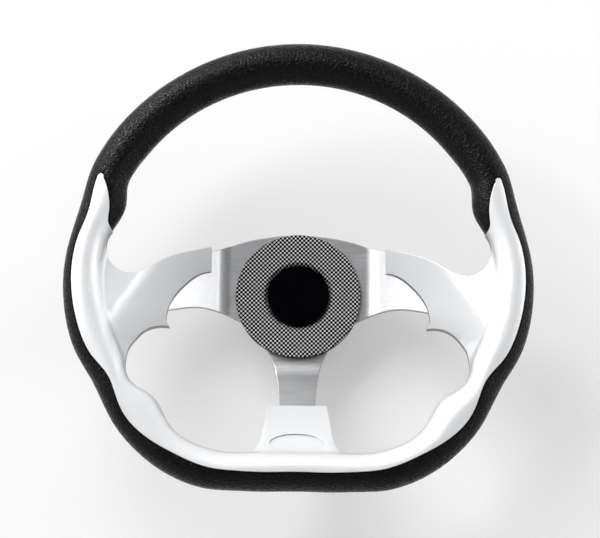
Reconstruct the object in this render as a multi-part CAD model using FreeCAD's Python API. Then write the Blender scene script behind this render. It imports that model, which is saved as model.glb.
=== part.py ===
import FreeCAD, Part
import math
import os

# Boat steering wheel, all sizes in millimetres.
# +Z points along the steering axis to the driver, +Y to the top of the rim.
# The origin is the centre of the hub's rear face.
# The wheel is the same left and right, so a half at -X is made and mirrored.

V = FreeCAD.Vector

# Heights along the steering axis
HUB_DEPTH = 36.0            # hub body, from its rear face to the spoke plate
PLATE_THICKNESS = 4.0       # spoke plate sheet
HUB_COVER_THICKNESS = 4.0   # printed ring over the plate's middle
RIM_HEIGHT = 110.0          # middle plane of the rim

# Rim outline: distance from the axis at an angle from +X, left half
RIM_OUTER = [(90, 179.0), (120, 178.0), (150, 175.7), (163, 171.0), (180, 174.3), (197, 174.8),
             (209, 171.2), (222, 176.0), (235, 177.0), (246, 173.6), (256, 165.9), (270, 161.0)]
RIM_INNER = [(90, 148.0), (120, 147.5), (140, 146.2), (151, 145.4), (159, 138.6), (171, 144.6),
             (190, 144.0), (205, 142.2), (213, 146.4), (222, 140.4), (234, 147.6), (247, 143.4),
             (258, 135.5), (270, 132.5)]
RIM_HALF_THICKNESS = 15.5   # half of the rim's depth along the axis
RIM_SWEEP = (84, 276)       # the left half is made a little past the middle and cut there

# Steel ring inside the grip
CORE_DIAMETER = 14.0
CORE_TOP = 163.5            # height of the ring's centre line over the axis
CORE_SIDE = 158.8           # its distance at the side
CORE_BOTTOM = 146.7         # its distance below the axis
CORE_LEAVE_ANGLE = 215.0    # where the big arc ends and the straight run starts
CORE_CORNER_RADIUS = 60.0

# Silver front bezel
BEZEL_WALL = 3.0
BEZEL_SEAT_CLEARANCE = 0.2  # between the bezel and what it lies on
BEZEL_GROOVE = 1.0          # open groove between the bezel's edge and the grip
LIP_WALL = 2.4              # turned-down edge round the openings
LIP_DEPTH = 9.0
PARTING = [(154, 166.2), (158, 164.6), (162, 162.7), (166, 162.6), (172, 165.7), (180, 167.6),
           (192, 167.2), (201, 165.2), (210, 159.6), (220, 165.8), (227, 166.3), (236, 163.3),
           (246, 160.0), (256, 153.6), (270, 149.0)]
HORN_TIP_ANGLE = 154.0
HORN_INNER = [(-145.6, 70.6), (-143.3, 65.2), (-141.6, 58.3), (-140.7, 51.0), (-141.0, 44.0),
              (-141.5, 38.5), (-138.6, 33.0)]
NOTCH = [(-138.6, 33.0), (-142.4, 25.0), (-142.6, 17.0), (-138.8, 8.6), (-133.0, 3.8), (-126.0, 2.2),
         (-117.5, 4.4), (-108.0, 11.0)]
OPENING_CENTRE = (-96.5, -58.5)    # round lobe of the lower opening
OPENING_RADIUS = 29.5
OPENING_LOBE = [(-126.0, -57.5), (-124.2, -50.0), (-120.8, -43.3), (-116.1, -37.4), (-110.2, -32.8),
                (-103.1, -29.8)]
LOBE_TIP = (-96.8, -28.7)
OPENING_EDGE = [(-126.0, -57.5), (-126.8, -67.0), (-125.0, -76.5), (-119.0, -83.5), (-110.0, -88.6),
                (-103.0, -95.0), (-98.2, -104.0), (-93.0, -113.6), (-84.0, -122.0), (-71.0, -128.4),
                (-57.0, -131.8), (-40.0, -132.5)]
TAB_HALF_WIDTH = 22.3
TAB_END = 89.5              # distance of the tab's upper edge below the axis
OVERRUN = 10.0              # how far the half outline runs past the middle before it is cut there
TAB_ROOT = [(-40.0, -132.5), (-33.0, -131.0), (-28.6, -125.0), (-25.6, -113.0)]
BEZEL_HOOK = (-99.0, -25.5)        # lower corner of the bezel's end on the side spoke
BEZEL_END_LINE = [(-99.0, -25.5), (-97.6, -17.0), (-92.0, -5.5), (-84.0, 4.6), (-76.0, 12.2),
                  (-66.2, 16.8)]
BEZEL_TOP_CORNER = (-66.2, 34.6)
WING_LEAN = 1.836           # the wing's flat face rises this much faster than the spoke below it
WING_RISE_UP = 0.425        # slope of that face along +Y
WING_LIFT = 4.8             # height of that face over the spoke at WING_ORIGIN
WING_ORIGIN = (-66.0, 22.0)
TAB_LEAN = 1.31             # the tab's face rises this much faster than the spoke below it
SCOOP_TOP = (-107.4, 16.0)  # crease beside the thumb scoop, upper end
SCOOP_TIP = (-145.0, -45.0)
SCOOP_FALL = 1.15           # how much the scoop falls away from the wing's face
EDGE_DROP = 5.0             # chamfer at the opening's upper edge
EDGE_SLOPE = 1.1
RECESS_HALF = (19.8, 8.2)   # plain oval recess in the tab
RECESS_CENTRE = 124.0
RECESS_DEPTH = 1.1

# Spoke plate
BEND_START = 57.0           # where each spoke bends up, from the axis
BEND_RADIUS = 20.0
SPOKE_END_DROP = 14.4       # how far a spoke's end stays below the rim's middle plane
PLATE_DISC_RADIUS = 46.6
SPOKE_TOP_EDGE = [(0.0, 48.4), (-18.0, 47.2), (-44.0, 42.1), (-65.0, 34.2), (-82.0, 26.0), (-91.0, 16.5),
                  (-100.0, 4.0)]
SPOKE_LOWER_EDGE = [(-112.0, -20.5), (-96.4, -16.9), (-81.0, -12.4), (-72.0, -11.4), (-64.5, -11.9),
                    (-56.0, -14.0), (-48.5, -17.3), (-41.6, -21.0)]
BOTTOM_SPOKE_EDGE = [(-24.3, -39.8), (-20.8, -46.0), (-17.3, -55.0), (-15.2, -66.0), (-14.2, -76.0),
                     (-13.8, -88.0)]
SPOKE_TIP = (-10.0, -28.0)  # upper and lower corner of the side spoke's outer end
SPOKE_END = 138.0           # end of each side spoke from the axis
BOTTOM_SPOKE_END = 128.0
PLATE_HOLE_RADIUS = 17.0

# Brackets welded to the core
BRACKET_THICKNESS = 3.0
BRACKET_WIDTH = 16.0
BRACKET_CLEARANCE = 0.2     # in the grip round a bracket
BRACKET_OVERLAP = 28.0      # how far a bracket runs under its spoke
BRACKET_MIDDLE = -17.0      # side bracket's centre line from the axis, along Y
BOLT_DIAMETER = 5.0
BOLT_SPACING = 14.0
BOLT_HEAD_RADIUS = 4.6
BOLT_HEAD_HEIGHT = 2.4
NUT_WIDTH = 8.0             # across the flats
NUT_HEIGHT = 5.0
BOLT_FROM_END = 7.0         # from the spoke's end to the outer bolt

# Hub
HUB_BOSS_RADIUS = 24.0
HUB_FLANGE_RADIUS = 40.0
HUB_FLANGE_THICKNESS = 7.0
TAPER_LARGE_DIAMETER = 19.05
TAPER_RATIO = 12.0
TAPER_LENGTH = 24.0
NUT_RECESS_RADIUS = 14.0
CAP_SEAT_DEPTH = 5.0        # wider mouth of the recess for the cap's skirt
KEYWAY_WIDTH = 4.8
KEYWAY_DEPTH = 2.4
HUB_SCREW_COUNT = 6
HUB_SCREW_PCD = 68.0
HUB_SCREW_LENGTH = 10.0
SCREW_CLEARANCE = 0.25      # on the radius of a plain hole round a screw
HUB_COVER_RADIUS = 47.6
HUB_COVER_HOLE = 23.8
HUB_COVER_BEVEL = 2.4
CAP_GAP = 0.3
CAP_RISE = 0.8
CAP_BEVEL = 0.8
CAP_WALL = 1.8
CAP_SKIRT_DEPTH = 7.0

# Shroud behind the hub
SHROUD_TOP_RADIUS = 45.5
SHROUD_BOTTOM_RADIUS = 36.0
SHROUD_WALL = 2.5
SHROUD_LIFT = 1.0
SHROUD_SCREW_COUNT = 3
SHROUD_SCREW_PCD = 66.0

# Rear covers and the small screws that hold them
COVER_WALL = 2.2
COVER_DEPTH = 20.0          # from the spoke's front face to the cover's back, along the axis
COVER_GAP = 0.4
COVER_INSET = 4.0           # keeps the cover's sides out of sight behind the bezel's lip
COVER_RIM_INSET = 5.0       # from the rim's middle line to the side cover's outer wall
COVER_START = 88.0          # the side cover's hub end, from the axis
COVER_LOW = -62.0           # the side cover's lower end
NOTCH_COVER = (-116.0, -3.0)       # outwards of this the side cover stays below the thumb notch
BOTTOM_COVER_START = 98.0
BOTTOM_COVER_HALF = 34.0
POST_RADIUS = 3.4
POST_TOP_RADIUS = 4.3
TAPPING_RADIUS = 1.6
TAPPING_LENGTH = 10.0
TAPPING_HEAD_RADIUS = 3.1
TAPPING_HEAD_HEIGHT = 2.0
SIDE_POSTS = [(-121.0, -29.2), (-132.5, -38.5)]
BOTTOM_POSTS = [(-17.9, -112.0)]

PLATE_REAR = HUB_DEPTH
PLATE_FRONT = HUB_DEPTH + PLATE_THICKNESS
SPOKE_RISE = RIM_HEIGHT - SPOKE_END_DROP - PLATE_FRONT
SIDE_SPOKE_SLOPE = SPOKE_RISE / (SPOKE_END - BEND_START)
BOTTOM_SPOKE_SLOPE = SPOKE_RISE / (BOTTOM_SPOKE_END - BEND_START)
CREST = RIM_HEIGHT + RIM_HALF_THICKNESS
RIDGE_LIMIT = 0.985         # share of the half width up to which the ridge is a true oval
RIDGE_FALL = 2.0            # slope of its sides beyond that
FACE_START = 58.0           # the front surface is made from here out to the rim
FAR = 400.0


def interpolate(knots, angle):
    """Smooth value at an angle from (angle, value) knots."""
    if angle <= knots[0][0]:
        return knots[0][1]
    if angle >= knots[-1][0]:
        return knots[-1][1]
    i = 0
    while knots[i + 1][0] < angle:
        i += 1

    def slope(k):
        if k == 0 or k == len(knots) - 1:
            return 0.0
        return (knots[k + 1][1] - knots[k - 1][1]) / (knots[k + 1][0] - knots[k - 1][0])

    a0, v0 = knots[i]
    a1, v1 = knots[i + 1]
    span = a1 - a0
    t = (angle - a0) / span
    h00 = (1 + 2 * t) * (1 - t) ** 2
    h10 = t * (1 - t) ** 2
    h01 = t * t * (3 - 2 * t)
    h11 = t * t * (t - 1)
    return h00 * v0 + h10 * span * slope(i) + h01 * v1 + h11 * span * slope(i + 1)


def fold(angle):
    """Angle of the mirror point in the left half, 90 to 270 degrees."""
    angle = angle % 360.0
    if angle < 90.0:
        return 180.0 - angle
    if angle > 270.0:
        return 540.0 - angle
    return angle


def rim_outer(angle):
    return interpolate(RIM_OUTER, fold(angle))


def rim_inner(angle):
    return interpolate(RIM_INNER, fold(angle))


def polar(radius, angle, z=0.0):
    a = math.radians(angle)
    return V(radius * math.cos(a), radius * math.sin(a), z)


def spline(points):
    """Smooth edge through plan points."""
    curve = Part.BSplineCurve()
    curve.interpolate([V(p[0], p[1], 0) for p in points])
    return curve.toShape()


def line(p, q):
    return Part.LineSegment(V(p[0], p[1], 0), V(q[0], q[1], 0)).toShape()


def plan_face(edges):
    return Part.Face(Part.Wire(Part.__sortEdges__(edges)))


def mirrored(shape):
    return shape.mirror(V(0, 0, 0), V(1, 0, 0))


def prism(edges, low, high):
    """Upright solid over a closed plan outline."""
    return slab(plan_face(edges), low, high)


def slab(face, low, high):
    """Upright solid over a plan face."""
    moved = face.copy()
    moved.translate(V(0, 0, low))
    return moved.extrude(V(0, 0, high - low))


def both_sides(half):
    """One solid from the left half and its mirror image."""
    whole = half.fuse(mirrored(half))
    return whole.Solids[0] if len(whole.Solids) == 1 else whole


def cylinder(radius, low, high, x=0.0, y=0.0):
    return Part.makeCylinder(radius, high - low, V(x, y, low), V(0, 0, 1))


# Front surface of the rim and the bezel

def smooth_max(a, b, width):
    h = max(width - abs(a - b), 0.0) / width
    return max(a, b) + h * h * width / 4.0


def smooth_min(a, b, width):
    return -smooth_max(-a, -b, width)


def crown(radius, angle):
    """Height of the rim's front, seen as a rounded ridge."""
    outer = rim_outer(angle)
    inner = rim_inner(angle)
    half = (outer - inner) / 2.0
    u = abs((radius - (outer + inner) / 2.0) / half)
    if u < RIDGE_LIMIT:
        return RIM_HEIGHT + RIM_HALF_THICKNESS * math.sqrt(1 - u * u)
    edge = RIM_HALF_THICKNESS * math.sqrt(1 - RIDGE_LIMIT ** 2)
    return RIM_HEIGHT + edge - (u - RIDGE_LIMIT) * half * RIDGE_FALL


def wing_face(x, y):
    """Flat face of the wing over a side spoke."""
    start = side_plate_front(WING_ORIGIN[0]) + WING_LIFT
    return start + WING_LEAN * SIDE_SPOKE_SLOPE * (WING_ORIGIN[0] - x) + WING_RISE_UP * (y - WING_ORIGIN[1])


def scoop(x, y):
    """How far the thumb scoop falls below the wing's face."""
    run = (SCOOP_TIP[0] - SCOOP_TOP[0], SCOOP_TIP[1] - SCOOP_TOP[1])
    length = math.hypot(run[0], run[1])
    across = ((SCOOP_TOP[0] - x) * -run[1] + (SCOOP_TOP[1] - y) * run[0]) / length
    return SCOOP_FALL * smooth_max(across, 0.0, 6.0)


def front(x, y):
    """Height of the bezel's front face over a point of the plan, for x below 0."""
    radius = math.hypot(x, y)
    angle = math.degrees(math.atan2(y, x)) % 360.0
    ridge = crown(radius, angle)
    inner = rim_inner(angle)
    u = (radius - (rim_outer(angle) + inner) / 2.0) / ((rim_outer(angle) - inner) / 2.0)
    wing = wing_face(x, y) - scoop(x, y)
    to_opening = math.hypot(x - OPENING_CENTRE[0], y - OPENING_CENTRE[1]) - OPENING_RADIUS
    chamfer = wing_face(x, y) - EDGE_DROP + (EDGE_SLOPE - WING_RISE_UP) * max(to_opening, -20.0)
    wing = smooth_min(wing, chamfer, 3.0)
    tab = bottom_plate_front(y) + BEZEL_WALL + BEZEL_SEAT_CLEARANCE
    tab += (TAB_LEAN - 1.0) * BOTTOM_SPOKE_SLOPE * max(-y - TAB_END, 0.0)
    tab -= 1.2 * max(abs(x) - TAB_HALF_WIDTH - 4.0, 0.0)
    side = smooth_min(max(wing, tab), CREST - 1.0, 6.0) - 30.0 * max(u + 0.45, 0.0) ** 2
    return smooth_max(ridge, side, 6.0)


def side_plate_front(x):
    return PLATE_FRONT + SIDE_SPOKE_SLOPE * max(abs(x) - BEND_START, 0.0)


def bottom_plate_front(y):
    return PLATE_FRONT + BOTTOM_SPOKE_SLOPE * max(-y - BEND_START, 0.0)


def front_face():
    """The bezel's front as one smooth surface over the left half, trimmed later."""
    rows = []
    for step in range(43):
        angle = 148.0 + 3.0 * step
        inner = rim_inner(angle)
        outer = rim_outer(angle)
        half = (outer - inner) / 2.0
        radii = [FACE_START + (inner - 4.0 - FACE_START) * k / 11.0 for k in range(12)]
        radii += [inner + half * t for t in (0.0, 0.14, 0.32, 0.55, 0.8, 1.05, 1.3, 1.55, 1.75)]
        rows.append([polar(r, angle) for r in radii])
    points = []
    for row in rows:
        points.append([V(p.x, p.y, front(min(p.x, 0.0), p.y) if p.x < 0 else front(-p.x, p.y)) for p in row])
    surface = Part.BSplineSurface()
    surface.interpolate(points)
    return Part.Face(surface)


# Outlines

def parting_points(inset=0.0):
    points = [polar(interpolate(PARTING, a) - inset, a) for a in
              (154, 156, 159, 162.5, 166, 170, 175, 180, 186, 192, 198, 203, 207, 210, 213, 217, 221,
               226, 231, 236, 241, 246, 251, 256, 261, 266, 270, 274)]
    return [(p.x, p.y) for p in points]


def opening_border(inset=0.0):
    """Edges of the bezel's border from the tab's end round to the horn, moved into the bezel."""
    tip = [LOBE_TIP, BEZEL_HOOK]
    if inset > 0:
        tip = [(BEZEL_HOOK[0], LOBE_TIP[1])]
    runs = [
        [(OVERRUN, -TAB_END), (-TAB_HALF_WIDTH, -TAB_END)],
        [(-TAB_HALF_WIDTH, -TAB_END), TAB_ROOT[-1]],
        TAB_ROOT[::-1],
        OPENING_EDGE[::-1],
        OPENING_LOBE + tip[:1],
        tip,
        tip[-1:] + BEZEL_END_LINE[1:],
        [BEZEL_END_LINE[-1], BEZEL_TOP_CORNER],
        [BEZEL_TOP_CORNER, (-84.0, 26.2), (-98.0, 18.4), NOTCH[-1]],
        NOTCH[::-1],
    ]
    runs = [run for run in runs if len(run) > 1]
    chain = [runs[0][0]] + [p for run in runs for p in run[1:]]
    moved = []
    for i, p in enumerate(chain):
        before = chain[i - 1] if i > 0 else None
        after = chain[i + 1] if i < len(chain) - 1 else None
        normals = []
        for a, b in ((before, p), (p, after)):
            if a is not None and b is not None:
                length = math.hypot(b[0] - a[0], b[1] - a[1])
                normals.append(((a[1] - b[1]) / length, (b[0] - a[0]) / length))
        n1 = normals[0]
        n2 = normals[-1]
        share = inset / (1.0 + n1[0] * n2[0] + n1[1] * n2[1])
        moved.append((p[0] + share * (n1[0] + n2[0]), p[1] + share * (n1[1] + n2[1])))
    edges = []
    start = 0
    for run in runs:
        points = moved[start:start + len(run)]
        edges.append(spline(points) if len(points) > 2 else line(points[0], points[1]))
        start += len(run) - 1
    return edges, moved[0], moved[-1]


def bezel_outline(grow=0.0):
    """Plan outline of the bezel's left half; grow opens it at the grip's side."""
    outer = parting_points(-grow)
    tip_outer = outer[0]
    tip_inner = (HORN_INNER[0][0] + grow * 0.9, HORN_INNER[0][1] + grow * 0.3)
    tip = ((tip_outer[0] + tip_inner[0]) / 2.0, (tip_outer[1] + tip_inner[1]) / 2.0 + 1.9 + grow)
    horn = [tip_inner] + [(p[0] + grow, p[1]) for p in HORN_INNER[1:-1]] + [HORN_INNER[-1]]
    cap = Part.Arc(V(tip_outer[0], tip_outer[1], 0), V(tip[0], tip[1], 0), V(tip_inner[0], tip_inner[1], 0))
    border, first, last = opening_border()
    return border + [spline(outer), line(outer[-1], first), spline(horn), cap.toShape()]


def behind_border(inset):
    """Plan area on the bezel's side of its border, with the horns, moved in by an inset."""
    edges, first, last = opening_border(inset)
    corners = [last, (last[0] + 20.0, last[1]), (last[0] + 20.0, FAR), (-FAR, FAR), (-FAR, -FAR),
               (first[0], -FAR), first]
    edges += [line(a, b) for a, b in zip(corners, corners[1:])]
    return plan_face(edges)


def before_border(inset):
    """Plan area on the axis side of the same border."""
    edges, first, last = opening_border(inset)
    corner = (first[0], last[1])
    return plan_face(edges + [line(last, corner), line(corner, first)])


def left_half():
    return Part.makeBox(FAR, 2 * FAR, 2 * FAR, V(-FAR, -FAR, -FAR))


def under(face, drop, depth=FAR):
    """Solid from a drop below the front surface downwards."""
    low = face.copy()
    low.translate(V(0, 0, -drop))
    return low.extrude(V(0, 0, -depth))


def above(face, drop):
    high = face.copy()
    high.translate(V(0, 0, -drop))
    return high.extrude(V(0, 0, FAR))


# Pieces

def rim_front(grow):
    """Front half of the grip's oval surface, left side, swept through the rim's outline."""
    rows = []
    for angle in range(RIM_SWEEP[0], RIM_SWEEP[1] + 1, 4):
        middle = (rim_inner(angle) + rim_outer(angle)) / 2.0
        half = (rim_outer(angle) - rim_inner(angle)) / 2.0 + grow
        row = []
        for k in range(13):
            turn = math.pi * k / 12.0
            row.append(polar(middle + half * math.cos(turn), angle,
                             RIM_HEIGHT + (RIM_HALF_THICKNESS + grow) * math.sin(turn)))
        rows.append(row)
    surface = Part.BSplineSurface()
    surface.interpolate(rows)
    return Part.Face(surface)


def rim_body(grow=0.0):
    """Left half of the plain rim, closed from the front surface, its mirror image and two end faces."""
    upper = rim_front(grow)
    lower = upper.mirror(V(0, 0, RIM_HEIGHT), V(0, 0, 1))
    faces = [upper, lower]
    for angle in RIM_SWEEP:
        found = []
        for edge in upper.Edges + lower.Edges:
            middle = edge.valueAt((edge.FirstParameter + edge.LastParameter) / 2.0)
            turn = math.degrees(math.atan2(middle.y, middle.x)) % 360.0
            if abs(turn - angle) < 0.5 and abs(middle.z - RIM_HEIGHT) > RIM_HALF_THICKNESS / 3.0:
                found.append(edge)
        faces.append(plan_face(found))
    skin = Part.makeCompound(faces)
    skin.sewShape()
    body = Part.makeSolid(skin.Shells[0])
    if body.Volume < 0:
        body.reverse()
    return body.common(left_half())


def core_path():
    """Closed centre line of the steel ring: one big arc, two straight runs, two corners."""
    centre_y = (CORE_TOP ** 2 - CORE_SIDE ** 2) / (2 * CORE_TOP)
    radius = CORE_TOP - centre_y
    leave = math.radians(CORE_LEAVE_ANGLE)
    p = V(radius * math.cos(leave), centre_y + radius * math.sin(leave), 0)
    direction = V(-math.sin(leave), math.cos(leave), 0)
    corner = p + direction * ((-CORE_BOTTOM - p.y) / direction.y)
    turn = math.acos(direction.x)
    cut = CORE_CORNER_RADIUS * math.tan(turn / 2)
    a = corner - direction * cut
    b = corner + V(cut, 0, 0)
    middle = V(b.x, b.y + CORE_CORNER_RADIUS, 0)
    toward = corner - middle
    m = middle + toward * (CORE_CORNER_RADIUS / toward.Length)
    flip = lambda q: V(-q.x, q.y, q.z)
    edges = [
        Part.Arc(flip(p), V(0, CORE_TOP, 0), p).toShape(),
        Part.LineSegment(p, a).toShape(),
        Part.Arc(a, m, b).toShape(),
        Part.LineSegment(b, flip(b)).toShape(),
        Part.Arc(flip(b), flip(m), flip(a)).toShape(),
        Part.LineSegment(flip(a), flip(p)).toShape(),
    ]
    return Part.Wire(edges)


def rim_core():
    path = core_path()
    path.translate(V(0, 0, RIM_HEIGHT))
    start = path.Edges[0].valueAt(path.Edges[0].FirstParameter)
    tangent = path.Edges[0].tangentAt(path.Edges[0].FirstParameter)
    circle = Part.Wire(Part.makeCircle(CORE_DIAMETER / 2, start, tangent))
    return path.makePipeShell([circle], True, False)


def sheet(slope, end, drop, thickness, width):
    """Bent sheet in the XZ plane, flat in the middle and rising at both ends, with round bends."""
    rise = slope * (end - BEND_START)
    steep = math.sqrt(1 + slope * slope)
    shift = (steep - 1) / slope
    upper = BEND_START + drop * shift
    lower = BEND_START + (drop + thickness) * shift
    top = PLATE_FRONT - drop
    low = top - thickness
    tip_top = PLATE_FRONT + rise - drop * steep
    tip_low = tip_top - thickness * steep
    half = [V(end, 0, tip_top), V(upper, 0, top)]
    back = [V(lower, 0, low), V(end, 0, tip_low)]
    flip = [V(-p.x, 0, p.z) for p in half]
    flip_back = [V(-p.x, 0, p.z) for p in back]
    outline = flip + half[::-1] + back[::-1] + flip_back
    face = Part.Face(Part.makePolygon(outline + [outline[0]]))
    solid = face.extrude(V(0, 2 * width, 0))
    solid.translate(V(0, -width, 0))
    bends = []
    for edge in solid.Edges:
        a = edge.Vertexes[0].Point
        b = edge.Vertexes[-1].Point
        along = abs(abs(a.y - b.y) - 2 * width) < 0.01
        if along and abs(abs(a.x) - upper) < 0.01 and abs(a.z - top) < 0.01:
            bends.append((edge, BEND_RADIUS + drop))
        if along and abs(abs(a.x) - lower) < 0.01 and abs(a.z - low) < 0.01:
            bends.append((edge, BEND_RADIUS + drop + thickness))
    for radius in sorted(set(r for e, r in bends)):
        middles = [e.CenterOfMass for e, r in bends if r == radius]
        found = [e for e in solid.Edges if any(e.CenterOfMass.distanceToPoint(m) < 0.01 for m in middles)]
        solid = solid.makeFillet(radius, found)
    return solid


def turn_down(shape):
    """Turn a shape made for the side spokes so that -X becomes -Y."""
    turned = shape.copy()
    turned.rotate(V(0, 0, 0), V(0, 0, 1), 90)
    return turned


def side_outline(grow=0.0):
    top = [(p[0], p[1] + grow) for p in SPOKE_TOP_EDGE]
    low = [(p[0], p[1] - grow) for p in SPOKE_LOWER_EDGE]
    end = -SPOKE_END - grow
    return [
        spline(top),
        line(top[-1], (end, SPOKE_TIP[0] + grow)),
        line((end, SPOKE_TIP[0] + grow), (end, SPOKE_TIP[1] - grow)),
        line((end, SPOKE_TIP[1] - grow), low[0]),
        spline(low),
        line(low[-1], (0, low[-1][1])),
        line((0, low[-1][1]), top[0]),
    ]


def bottom_outline(grow=0.0):
    edge = [(p[0] - grow, p[1]) for p in BOTTOM_SPOKE_EDGE]
    end = -BOTTOM_SPOKE_END - grow
    return [
        line((0, 0), (edge[0][0], 0)),
        line((edge[0][0], 0), edge[0]),
        spline(edge),
        line(edge[-1], (edge[-1][0], end)),
        line((edge[-1][0], end), (0, end)),
        line((0, end), (0, 0)),
    ]


def spoke_sheet(drop, thickness, grow=0.0):
    """The three bent spokes as one plain sheet."""
    side = sheet(SIDE_SPOKE_SLOPE, SPOKE_END + grow, drop, thickness, HUB_COVER_RADIUS + 10.0)
    bottom = turn_down(sheet(BOTTOM_SPOKE_SLOPE, BOTTOM_SPOKE_END + grow, drop, thickness, HUB_COVER_RADIUS))
    low = PLATE_FRONT - drop - thickness
    disc = cylinder(PLATE_DISC_RADIUS + grow, low, low + thickness)
    parts = side.common(both_sides(prism(side_outline(grow), 0, FAR)))
    parts = parts.fuse(bottom.common(both_sides(prism(bottom_outline(grow), 0, FAR))))
    return parts.fuse(disc).removeSplitter()


def spoke_bolt_places():
    """Point on the spoke's front, outward direction and normal of each spoke bolt."""
    places = []
    for row in range(2):
        reach = SPOKE_END - BOLT_FROM_END - BOLT_SPACING * row
        normal = V(SIDE_SPOKE_SLOPE, 0, 1).normalize()
        point = V(-reach, BRACKET_MIDDLE, side_plate_front(reach))
        places.append((point, normal))
        places.append((V(reach, point.y, point.z), V(-normal.x, 0, normal.z)))
        reach = BOTTOM_SPOKE_END - BOLT_FROM_END - BOLT_SPACING * row
        normal = V(0, BOTTOM_SPOKE_SLOPE, 1).normalize()
        places.append((V(0, -reach, bottom_plate_front(-reach)), normal))
    return places


def rod(point, normal, radius, start, end):
    """Round rod along a normal, from one distance to another."""
    return Part.makeCylinder(radius, end - start, point + normal * start, normal)


def ring_places(count, pcd, start=0.0):
    return [polar(pcd / 2, start + 360.0 * k / count) for k in range(count)]


def spoke_plate():
    plate = spoke_sheet(0.0, PLATE_THICKNESS)
    plate = plate.cut(cylinder(PLATE_HOLE_RADIUS, 0, FAR))
    for p in ring_places(HUB_SCREW_COUNT, HUB_SCREW_PCD):
        plate = plate.cut(cylinder(BOLT_DIAMETER / 2 + SCREW_CLEARANCE, 0, FAR, p.x, p.y))
    for point, normal in spoke_bolt_places():
        plate = plate.cut(rod(point, normal, BOLT_DIAMETER / 2 + SCREW_CLEARANCE, -20, 20))
    return plate


def bracket(slope, end, reach, grow):
    """Flat steel tab behind a spoke's end, running up to the core."""
    steep = math.sqrt(1 + slope * slope)
    start = end - BRACKET_OVERLAP - grow
    near = PLATE_THICKNESS - grow
    outline = []
    for distance, depth in ((start, near), (reach, near), (reach, near + BRACKET_THICKNESS + 2 * grow),
                            (start, near + BRACKET_THICKNESS + 2 * grow)):
        z = PLATE_FRONT + slope * (distance - BEND_START) - depth * steep
        outline.append(V(-distance, 0, z))
    face = Part.Face(Part.makePolygon(outline + [outline[0]]))
    solid = face.extrude(V(0, BRACKET_WIDTH + 2 * grow, 0))
    solid.translate(V(0, -BRACKET_WIDTH / 2 - grow, 0))
    return solid


def plain_brackets(grow=0.0):
    """Left and bottom bracket before they are cut and drilled."""
    side = bracket(SIDE_SPOKE_SLOPE, SPOKE_END, CORE_SIDE, grow)
    side.translate(V(0, BRACKET_MIDDLE, 0))
    return side, turn_down(bracket(BOTTOM_SPOKE_SLOPE, BOTTOM_SPOKE_END, CORE_BOTTOM, grow))


def brackets(core):
    side, bottom = plain_brackets()
    made = {"bracket_left": side, "bracket_right": mirrored(side), "bracket_bottom": bottom}
    for name in made:
        piece = made[name].cut(core)
        for point, normal in spoke_bolt_places():
            piece = piece.cut(rod(point, normal, BOLT_DIAMETER / 2 + SCREW_CLEARANCE, -20, 20))
        made[name] = max(piece.Solids, key=lambda q: q.Volume)
    return made


def spoke_bolts():
    reach = PLATE_THICKNESS + BRACKET_THICKNESS + NUT_HEIGHT + 1.0
    bolts = []
    for point, normal in spoke_bolt_places():
        head = rod(point, normal, BOLT_HEAD_RADIUS, 0, BOLT_HEAD_HEIGHT)
        head = head.makeChamfer(BOLT_HEAD_HEIGHT * 0.4, [head.Edges[0]])
        bolts.append(head.fuse(rod(point, normal, BOLT_DIAMETER / 2, -reach, 0)).removeSplitter())
    return Part.makeCompound(bolts)


def spoke_nuts():
    seat = PLATE_THICKNESS + BRACKET_THICKNESS
    nuts = []
    for point, normal in spoke_bolt_places():
        side = normal.cross(V(0, 0, 1)).normalize()
        other = normal.cross(side)
        corner = NUT_WIDTH / 2 / math.cos(math.pi / 6)
        base = point - normal * (seat + NUT_HEIGHT)
        ring = []
        for k in range(7):
            a = math.pi / 3 * k
            ring.append(base + side * (corner * math.cos(a)) + other * (corner * math.sin(a)))
        hexagon = Part.Face(Part.makePolygon(ring)).extrude(normal * NUT_HEIGHT)
        nuts.append(hexagon.cut(rod(point, normal, BOLT_DIAMETER / 2, -seat - NUT_HEIGHT - 1, 0)))
    return Part.makeCompound(nuts)


def revolved(points):
    """Turned solid from (radius, height) corners."""
    outline = [V(r, 0, z) for r, z in points]
    return Part.Face(Part.makePolygon(outline + [outline[0]])).revolve(V(0, 0, 0), V(0, 0, 1), 360)


def hub_body():
    large = TAPER_LARGE_DIAMETER / 2
    small = large - TAPER_LENGTH / TAPER_RATIO / 2
    flange = HUB_DEPTH - HUB_FLANGE_THICKNESS
    mouth = HUB_DEPTH - CAP_SEAT_DEPTH
    hub = revolved([(large, 0), (HUB_BOSS_RADIUS - 1, 0), (HUB_BOSS_RADIUS, 1), (HUB_BOSS_RADIUS, flange),
                    (HUB_FLANGE_RADIUS, flange), (HUB_FLANGE_RADIUS, HUB_DEPTH),
                    (PLATE_HOLE_RADIUS, HUB_DEPTH), (PLATE_HOLE_RADIUS, mouth), (NUT_RECESS_RADIUS, mouth),
                    (NUT_RECESS_RADIUS, TAPER_LENGTH), (small, TAPER_LENGTH)])
    key = Part.makeBox(KEYWAY_WIDTH, large + KEYWAY_DEPTH, TAPER_LENGTH, V(-KEYWAY_WIDTH / 2, 0, 0))
    hub = hub.cut(key)
    for p in ring_places(HUB_SCREW_COUNT, HUB_SCREW_PCD):
        hub = hub.cut(cylinder(BOLT_DIAMETER / 2, 0, FAR, p.x, p.y))
    for p in ring_places(SHROUD_SCREW_COUNT, SHROUD_SCREW_PCD, 90.0):
        hub = hub.cut(cylinder(TAPPING_RADIUS, flange - 1, flange + TAPPING_LENGTH / 2, p.x, p.y))
    return hub


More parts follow.
